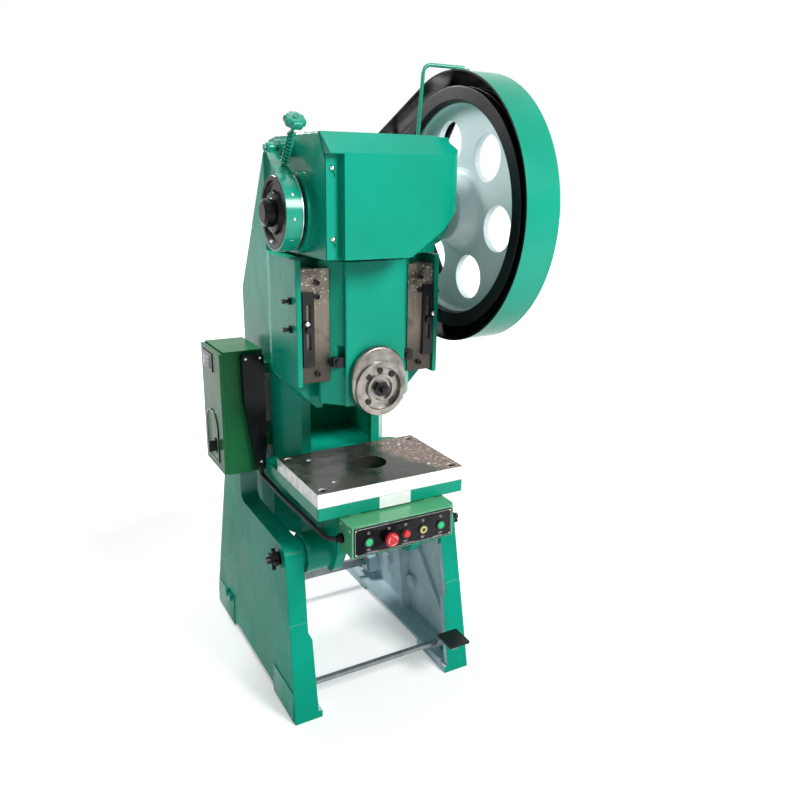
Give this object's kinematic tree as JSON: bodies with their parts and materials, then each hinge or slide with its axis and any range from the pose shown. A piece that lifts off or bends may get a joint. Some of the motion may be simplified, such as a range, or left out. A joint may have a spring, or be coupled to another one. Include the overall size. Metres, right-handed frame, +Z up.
{
  "type": "mechanical stamping press",
  "caption": "Open-back inclinable C-frame stamping press: crank and flywheel head, guided slide, bolster table, push-button console, electric box and treadle on a cast stand.",
  "frame": {"origin": "on the floor, in the middle of the four anchor holes in the two legs' feet", "axes": "+Z up, +Y to the back of the press, +X to the right of someone standing in front of it"},
  "size_m": [0.728, 1.131, 1.7907],
  "materials": {
    "green_enamel": "gloss",
    "light_green_enamel": "gloss",
    "leg_casting": "gloss enamel outside, blue-grey primer inside",
    "frame_casting": "gloss enamel",
    "flywheel_iron": "painted web, dark rim",
    "machined_iron": "oiled, machined",
    "dark_steel": "black oxide",
    "bright_steel": "machined, oiled",
    "bronze": "machined",
    "black_rubber": "satin",
    "black_plastic": "satin",
    "red_plastic": "gloss",
    "green_plastic": "gloss",
    "blue_glass": "gloss"
  },
  "bodies": {
    "stand": {"leg_left": "leg_casting", "leg_right": "leg_casting", "rear_tie_bar": "green_enamel", "stand_bolts": "dark_steel", "trunnion_pins": "bright_steel", "tilt_nuts": "dark_steel", "treadle_spring": "dark_steel"},
    "press_frame": {"frame_casting": "frame_casting", "bolster": "machined_iron", "bolster_screws": "dark_steel", "gib_left": "machined_iron", "gib_right": "machined_iron", "gib_screws": "dark_steel", "gib_adjusters": "dark_steel", "knockout_stops": "dark_steel", "front_cover": "green_enamel", "cover_screws": "bright_steel", "crank_bushes": "bronze", "brake_band": "green_enamel", "brake_strap": "green_enamel", "brake_pivot_pin": "bright_steel", "brake_rod": "bright_steel", "brake_spring": "dark_steel", "belt_guard": "green_enamel", "guard_bracket": "green_enamel", "motor": "green_enamel", "fan_cover": "green_enamel", "motor_bracket": "green_enamel", "motor_bolts": "dark_steel", "v_belts": "black_rubber", "electric_box": "light_green_enamel", "control_gear": "black_plastic", "cable_shroud": "black_plastic", "control_cable": "black_rubber", "cable_gland": "black_plastic", "control_box": "light_green_enamel", "control_panel": "black_plastic", "button_bodies": "black_plastic"},
    "crank": {"crankshaft": "bright_steel", "brake_drum": "dark_steel"},
    "con_rod": {"connecting_rod": "machined_iron", "ball_screw": "bright_steel"},
    "slide": {"slide_block": "frame_casting", "die_clamp": "bright_steel", "clamp_nuts": "dark_steel"},
    "knockout": {"knockout_bar": "dark_steel"},
    "flywheel": {"flywheel": "flywheel_iron"},
    "motor_rotor": {"motor_shaft": "bright_steel", "motor_pulley": "dark_steel"},
    "brake_knob": {"brake_knob": "green_enamel"},
    "left_start": {"start_button_left": "green_plastic"},
    "right_start": {"start_button_right": "green_plastic"},
    "stop": {"stop_button": "red_plastic"},
    "emergency": {"emergency_stop": "red_plastic"},
    "key": {"key_switch": "bronze"},
    "door": {"box_door": "light_green_enamel", "counter_display": "blue_glass"},
    "isolator": {"isolator_knob": "black_plastic"},
    "treadle": {"treadle_bar": "bright_steel", "pedal_pad": "black_rubber"}
  },
  "joints": [
    {"name": "frame_tilt", "type": "hinge", "parent": "stand", "child": "press_frame", "pos_m": [0, -0.246, 0.467], "axis": [-1, 0, 0], "range_deg": [0, 2]},
    {"name": "crank_spin", "type": "hinge", "parent": "press_frame", "child": "crank", "pos_m": [0, -0.225, 1.412], "axis": [1, 0, 0], "continuous": true},
    {"name": "con_rod_pivot", "type": "hinge", "parent": "crank", "child": "con_rod", "pos_m": [0, -0.225, 1.4395], "axis": [1, 0, 0], "continuous": true},
    {"name": "slide_stroke", "type": "slide", "parent": "press_frame", "child": "slide", "axis": [0, 0, -1], "range_m": [0, 0.055]},
    {"name": "knockout_lift", "type": "slide", "parent": "slide", "child": "knockout", "axis": [0, 0, 1], "range_m": [0, 0.028]},
    {"name": "flywheel_spin", "type": "hinge", "parent": "press_frame", "child": "flywheel", "pos_m": [0.3, -0.225, 1.412], "axis": [1, 0, 0], "continuous": true},
    {"name": "motor_spin", "type": "hinge", "parent": "press_frame", "child": "motor_rotor", "pos_m": [0.3, 0.44, 1.418], "axis": [1, 0, 0], "continuous": true},
    {"name": "brake_knob_turn", "type": "hinge", "parent": "press_frame", "child": "brake_knob", "pos_m": [-0.222, -0.2899, 1.6122], "axis": [0, -0.6157, 0.788], "range_deg": [-180, 180]},
    {"name": "left_start_press", "type": "slide", "parent": "press_frame", "child": "left_start", "axis": [0, 1, 0], "range_m": [0, 0.003], "stiffness_N_per_m": 900},
    {"name": "right_start_press", "type": "slide", "parent": "press_frame", "child": "right_start", "axis": [0, 1, 0], "range_m": [0, 0.003], "stiffness_N_per_m": 900},
    {"name": "stop_press", "type": "slide", "parent": "press_frame", "child": "stop", "axis": [0, 1, 0], "range_m": [0, 0.004], "stiffness_N_per_m": 900},
    {"name": "emergency_press", "type": "slide", "parent": "press_frame", "child": "emergency", "axis": [0, 1, 0], "range_m": [0, 0.005], "stiffness_N_per_m": 1500},
    {"name": "key_turn", "type": "hinge", "parent": "press_frame", "child": "key", "pos_m": [0.058, -0.467, 0.577], "axis": [0, 1, 0], "range_deg": [0, 90]},
    {"name": "door_swing", "type": "hinge", "parent": "press_frame", "child": "door", "pos_m": [-0.336, 0.207, 0.82], "axis": [0, 0, -1], "range_deg": [0, 110]},
    {"name": "isolator_turn", "type": "hinge", "parent": "door", "child": "isolator", "pos_m": [-0.347, 0.092, 0.705], "axis": [1, 0, 0], "range_deg": [0, 90]},
    {"name": "treadle_press", "type": "hinge", "parent": "stand", "child": "treadle", "pos_m": [-0.236, -0.3265, 0.086], "axis": [0, 1, 0], "range_deg": [0, 8], "stiffness_Nm_per_rad": 30, "springref_deg": -22.92}
  ],
  "couplings": [
    {"joint": "con_rod_pivot", "follows": "crank_spin", "ratio": -1},
    {"joint": "motor_spin", "follows": "flywheel_spin", "ratio": 7}
  ]
}
